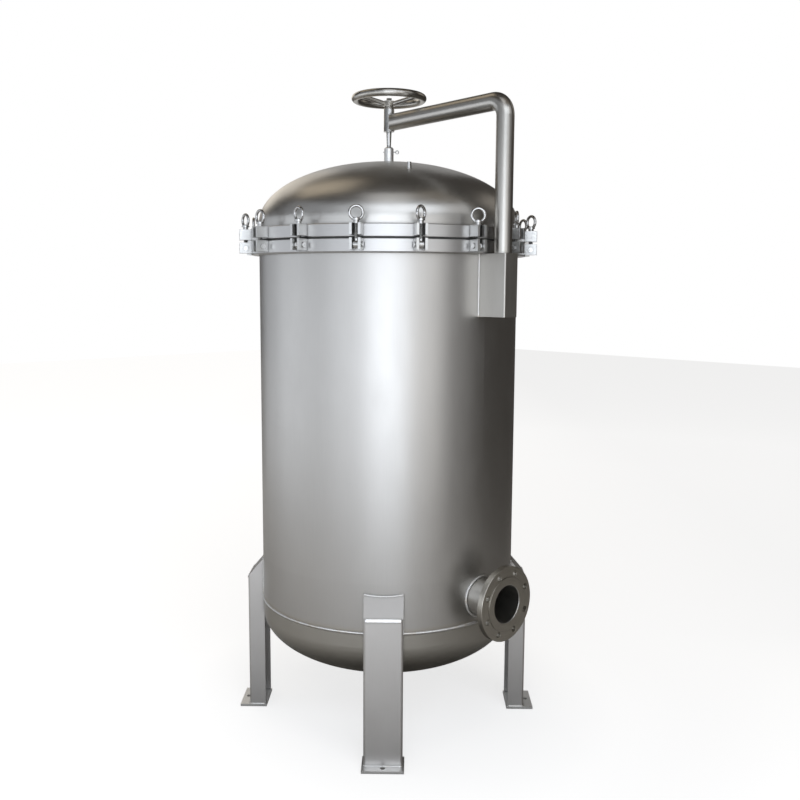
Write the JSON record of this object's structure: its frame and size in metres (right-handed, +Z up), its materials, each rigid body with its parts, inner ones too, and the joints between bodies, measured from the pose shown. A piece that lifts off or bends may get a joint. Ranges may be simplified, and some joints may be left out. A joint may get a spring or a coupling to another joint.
{
  "type": "cartridge filter housing",
  "caption": "Upright stainless vessel for filter cartridges, on legs, with side nozzles, swing-bolt lid and screw davit.",
  "frame": {"origin": "on the vessel's axis at floor level, between the four foot plates", "axes": "+Z up along the vessel's axis, +X out of the outlet nozzle and towards the davit post, -X out of the inlet nozzle"},
  "size_m": [1.003, 0.9108, 1.9465],
  "materials": {
    "shell": "satin stainless steel",
    "bottom_head": "satin stainless steel",
    "drain_socket": "satin stainless steel",
    "drain_plug": "satin stainless steel",
    "body_flange_ring": "satin stainless steel",
    "body_lugs": "polished stainless steel",
    "pivot_pins": "polished stainless steel",
    "lid_gasket": "moulded, matt",
    "legs": "satin stainless steel",
    "foot_plates": "satin stainless steel",
    "nozzle_pipes": "satin stainless steel",
    "nozzle_flanges": "satin stainless steel",
    "davit_bracket": "satin stainless steel",
    "davit_pipe": "satin stainless steel",
    "davit_sleeve": "satin stainless steel",
    "tube_sheet": "satin stainless steel",
    "cartridges": "melt-blown fibre",
    "hold_down_plate": "satin stainless steel",
    "tie_rod": "satin stainless steel",
    "tie_rod_nut": "satin stainless steel",
    "lid_dome": "satin stainless steel",
    "lid_flange_ring": "satin stainless steel",
    "lid_lugs": "polished stainless steel",
    "lid_socket": "polished stainless steel",
    "lift_spindle": "satin stainless steel",
    "locking_pin": "polished stainless steel",
    "vent_socket": "polished stainless steel",
    "handwheel": "satin stainless steel",
    "swing_bolts": "polished stainless steel",
    "eye_nuts": "polished stainless steel"
  },
  "bodies": {
    "housing": {"shell": "shell", "bottom_head": "bottom_head", "drain_socket": "drain_socket", "drain_plug": "drain_plug", "body_flange_ring": "body_flange_ring", "body_lugs": "body_lugs", "pivot_pins": "pivot_pins", "lid_gasket": "lid_gasket", "legs": "legs", "foot_plates": "foot_plates", "nozzle_pipes": "nozzle_pipes", "nozzle_flanges": "nozzle_flanges", "davit_bracket": "davit_bracket", "davit_pipe": "davit_pipe", "davit_sleeve": "davit_sleeve", "tube_sheet": "tube_sheet", "cartridges": "cartridges", "hold_down_plate": "hold_down_plate", "tie_rod": "tie_rod", "tie_rod_nut": "tie_rod_nut"},
    "lid": {"lid_dome": "lid_dome", "lid_flange_ring": "lid_flange_ring", "lid_lugs": "lid_lugs", "lid_socket": "lid_socket", "lift_spindle": "lift_spindle", "locking_pin": "locking_pin", "vent_socket": "vent_socket"},
    "handwheel": {"handwheel": "handwheel"},
    "swing_bolt_01": {"swing_bolt_01": "swing_bolts"},
    "eye_nut_01": {"eye_nut_01": "eye_nuts"},
    "swing_bolt_02": {"swing_bolt_02": "swing_bolts"},
    "eye_nut_02": {"eye_nut_02": "eye_nuts"},
    "swing_bolt_03": {"swing_bolt_03": "swing_bolts"},
    "eye_nut_03": {"eye_nut_03": "eye_nuts"},
    "swing_bolt_04": {"swing_bolt_04": "swing_bolts"},
    "eye_nut_04": {"eye_nut_04": "eye_nuts"},
    "swing_bolt_05": {"swing_bolt_05": "swing_bolts"},
    "eye_nut_05": {"eye_nut_05": "eye_nuts"},
    "swing_bolt_06": {"swing_bolt_06": "swing_bolts"},
    "eye_nut_06": {"eye_nut_06": "eye_nuts"},
    "swing_bolt_07": {"swing_bolt_07": "swing_bolts"},
    "eye_nut_07": {"eye_nut_07": "eye_nuts"},
    "swing_bolt_08": {"swing_bolt_08": "swing_bolts"},
    "eye_nut_08": {"eye_nut_08": "eye_nuts"},
    "swing_bolt_09": {"swing_bolt_09": "swing_bolts"},
    "eye_nut_09": {"eye_nut_09": "eye_nuts"},
    "swing_bolt_10": {"swing_bolt_10": "swing_bolts"},
    "eye_nut_10": {"eye_nut_10": "eye_nuts"},
    "swing_bolt_11": {"swing_bolt_11": "swing_bolts"},
    "eye_nut_11": {"eye_nut_11": "eye_nuts"},
    "swing_bolt_12": {"swing_bolt_12": "swing_bolts"},
    "eye_nut_12": {"eye_nut_12": "eye_nuts"},
    "swing_bolt_13": {"swing_bolt_13": "swing_bolts"},
    "eye_nut_13": {"eye_nut_13": "eye_nuts"},
    "swing_bolt_14": {"swing_bolt_14": "swing_bolts"},
    "eye_nut_14": {"eye_nut_14": "eye_nuts"},
    "swing_bolt_15": {"swing_bolt_15": "swing_bolts"},
    "eye_nut_15": {"eye_nut_15": "eye_nuts"},
    "swing_bolt_16": {"swing_bolt_16": "swing_bolts"},
    "eye_nut_16": {"eye_nut_16": "eye_nuts"}
  },
  "joints": [
    {"name": "handwheel_turn", "type": "hinge", "parent": "housing", "child": "handwheel", "pos_m": [0, 0, 1.915], "axis": [0, 0, 1], "range_deg": [-2160, 0]},
    {"name": "lid_lift", "type": "slide", "parent": "housing", "child": "lid", "axis": [0, 0, 1], "range_m": [0, 0.024]},
    {"name": "bolt_fold_01", "type": "hinge", "parent": "housing", "child": "swing_bolt_01", "pos_m": [0.4303, 0.09658, 1.475], "axis": [-0.219, 0.9757, 0], "range_deg": [0, 170]},
    {"name": "eye_nut_spin_01", "type": "hinge", "parent": "swing_bolt_01", "child": "eye_nut_01", "pos_m": [0.4303, 0.09658, 1.5583], "axis": [0, 0, 1], "continuous": true},
    {"name": "bolt_fold_02", "type": "hinge", "parent": "housing", "child": "swing_bolt_02", "pos_m": [0.36058, 0.25389, 1.475], "axis": [-0.5757, 0.8176, 0], "range_deg": [0, 170]},
    {"name": "eye_nut_spin_02", "type": "hinge", "parent": "swing_bolt_02", "child": "eye_nut_02", "pos_m": [0.36058, 0.25389, 1.5583], "axis": [0, 0, 1], "continuous": true},
    {"name": "bolt_fold_03", "type": "hinge", "parent": "housing", "child": "swing_bolt_03", "pos_m": [0.23597, 0.37255, 1.475], "axis": [-0.8448, 0.5351, 0], "range_deg": [0, 170]},
    {"name": "eye_nut_spin_03", "type": "hinge", "parent": "swing_bolt_03", "child": "eye_nut_03", "pos_m": [0.23597, 0.37255, 1.5583], "axis": [0, 0, 1], "continuous": true},
    {"name": "bolt_fold_04", "type": "hinge", "parent": "housing", "child": "swing_bolt_04", "pos_m": [0.07544, 0.4345, 1.475], "axis": [-0.9853, 0.1711, 0], "range_deg": [0, 170]},
    {"name": "eye_nut_spin_04", "type": "hinge", "parent": "swing_bolt_04", "child": "eye_nut_04", "pos_m": [0.07544, 0.4345, 1.5583], "axis": [0, 0, 1], "continuous": true},
    {"name": "bolt_fold_05", "type": "hinge", "parent": "housing", "child": "swing_bolt_05", "pos_m": [-0.09658, 0.4303, 1.475], "axis": [-0.9757, -0.219, 0], "range_deg": [0, 170]},
    {"name": "eye_nut_spin_05", "type": "hinge", "parent": "swing_bolt_05", "child": "eye_nut_05", "pos_m": [-0.09658, 0.4303, 1.5583], "axis": [0, 0, 1], "continuous": true},
    {"name": "bolt_fold_06", "type": "hinge", "parent": "housing", "child": "swing_bolt_06", "pos_m": [-0.25389, 0.36058, 1.475], "axis": [-0.8176, -0.5757, 0], "range_deg": [0, 170]},
    {"name": "eye_nut_spin_06", "type": "hinge", "parent": "swing_bolt_06", "child": "eye_nut_06", "pos_m": [-0.25389, 0.36058, 1.5583], "axis": [0, 0, 1], "continuous": true},
    {"name": "bolt_fold_07", "type": "hinge", "parent": "housing", "child": "swing_bolt_07", "pos_m": [-0.37255, 0.23597, 1.475], "axis": [-0.5351, -0.8448, 0], "range_deg": [0, 170]},
    {"name": "eye_nut_spin_07", "type": "hinge", "parent": "swing_bolt_07", "child": "eye_nut_07", "pos_m": [-0.37255, 0.23597, 1.5583], "axis": [0, 0, 1], "continuous": true},
    {"name": "bolt_fold_08", "type": "hinge", "parent": "housing", "child": "swing_bolt_08", "pos_m": [-0.4345, 0.07544, 1.475], "axis": [-0.1711, -0.9853, 0], "range_deg": [0, 170]},
    {"name": "eye_nut_spin_08", "type": "hinge", "parent": "swing_bolt_08", "child": "eye_nut_08", "pos_m": [-0.4345, 0.07544, 1.5583], "axis": [0, 0, 1], "continuous": true},
    {"name": "bolt_fold_09", "type": "hinge", "parent": "housing", "child": "swing_bolt_09", "pos_m": [-0.4303, -0.09658, 1.475], "axis": [0.219, -0.9757, 0], "range_deg": [0, 170]},
    {"name": "eye_nut_spin_09", "type": "hinge", "parent": "swing_bolt_09", "child": "eye_nut_09", "pos_m": [-0.4303, -0.09658, 1.5583], "axis": [0, 0, 1], "continuous": true},
    {"name": "bolt_fold_10", "type": "hinge", "parent": "housing", "child": "swing_bolt_10", "pos_m": [-0.36058, -0.25389, 1.475], "axis": [0.5757, -0.8176, 0], "range_deg": [0, 170]},
    {"name": "eye_nut_spin_10", "type": "hinge", "parent": "swing_bolt_10", "child": "eye_nut_10", "pos_m": [-0.36058, -0.25389, 1.5583], "axis": [0, 0, 1], "continuous": true},
    {"name": "bolt_fold_11", "type": "hinge", "parent": "housing", "child": "swing_bolt_11", "pos_m": [-0.23597, -0.37255, 1.475], "axis": [0.8448, -0.5351, 0], "range_deg": [0, 170]},
    {"name": "eye_nut_spin_11", "type": "hinge", "parent": "swing_bolt_11", "child": "eye_nut_11", "pos_m": [-0.23597, -0.37255, 1.5583], "axis": [0, 0, 1], "continuous": true},
    {"name": "bolt_fold_12", "type": "hinge", "parent": "housing", "child": "swing_bolt_12", "pos_m": [-0.07544, -0.4345, 1.475], "axis": [0.9853, -0.1711, 0], "range_deg": [0, 170]},
    {"name": "eye_nut_spin_12", "type": "hinge", "parent": "swing_bolt_12", "child": "eye_nut_12", "pos_m": [-0.07544, -0.4345, 1.5583], "axis": [0, 0, 1], "continuous": true},
    {"name": "bolt_fold_13", "type": "hinge", "parent": "housing", "child": "swing_bolt_13", "pos_m": [0.09658, -0.4303, 1.475], "axis": [0.9757, 0.219, 0], "range_deg": [0, 170]},
    {"name": "eye_nut_spin_13", "type": "hinge", "parent": "swing_bolt_13", "child": "eye_nut_13", "pos_m": [0.09658, -0.4303, 1.5583], "axis": [0, 0, 1], "continuous": true},
    {"name": "bolt_fold_14", "type": "hinge", "parent": "housing", "child": "swing_bolt_14", "pos_m": [0.25389, -0.36058, 1.475], "axis": [0.8176, 0.5757, 0], "range_deg": [0, 170]},
    {"name": "eye_nut_spin_14", "type": "hinge", "parent": "swing_bolt_14", "child": "eye_nut_14", "pos_m": [0.25389, -0.36058, 1.5583], "axis": [0, 0, 1], "continuous": true},
    {"name": "bolt_fold_15", "type": "hinge", "parent": "housing", "child": "swing_bolt_15", "pos_m": [0.37255, -0.23597, 1.475], "axis": [0.5351, 0.8448, 0], "range_deg": [0, 170]},
    {"name": "eye_nut_spin_15", "type": "hinge", "parent": "swing_bolt_15", "child": "eye_nut_15", "pos_m": [0.37255, -0.23597, 1.5583], "axis": [0, 0, 1], "continuous": true},
    {"name": "bolt_fold_16", "type": "hinge", "parent": "housing", "child": "swing_bolt_16", "pos_m": [0.4345, -0.07544, 1.475], "axis": [0.1711, 0.9853, 0], "range_deg": [0, 170]},
    {"name": "eye_nut_spin_16", "type": "hinge", "parent": "swing_bolt_16", "child": "eye_nut_16", "pos_m": [0.4345, -0.07544, 1.5583], "axis": [0, 0, 1], "continuous": true}
  ],
  "couplings": [
    {"joint": "lid_lift", "follows": "handwheel_turn", "m_per_rad": -0.00063662},
    {"joint": "bolt_fold_01", "follows": "handwheel_turn", "ratio": -0.078704},
    {"joint": "bolt_fold_02", "follows": "handwheel_turn", "ratio": -0.078704},
    {"joint": "bolt_fold_03", "follows": "handwheel_turn", "ratio": -0.078704},
    {"joint": "bolt_fold_04", "follows": "handwheel_turn", "ratio": -0.078704},
    {"joint": "bolt_fold_05", "follows": "handwheel_turn", "ratio": -0.078704},
    {"joint": "bolt_fold_06", "follows": "handwheel_turn", "ratio": -0.078704},
    {"joint": "bolt_fold_07", "follows": "handwheel_turn", "ratio": -0.078704},
    {"joint": "bolt_fold_08", "follows": "handwheel_turn", "ratio": -0.078704},
    {"joint": "bolt_fold_09", "follows": "handwheel_turn", "ratio": -0.078704},
    {"joint": "bolt_fold_10", "follows": "handwheel_turn", "ratio": -0.078704},
    {"joint": "bolt_fold_11", "follows": "handwheel_turn", "ratio": -0.078704},
    {"joint": "bolt_fold_12", "follows": "handwheel_turn", "ratio": -0.078704},
    {"joint": "bolt_fold_13", "follows": "handwheel_turn", "ratio": -0.078704},
    {"joint": "bolt_fold_14", "follows": "handwheel_turn", "ratio": -0.078704},
    {"joint": "bolt_fold_15", "follows": "handwheel_turn", "ratio": -0.078704},
    {"joint": "bolt_fold_16", "follows": "handwheel_turn", "ratio": -0.078704}
  ]
}
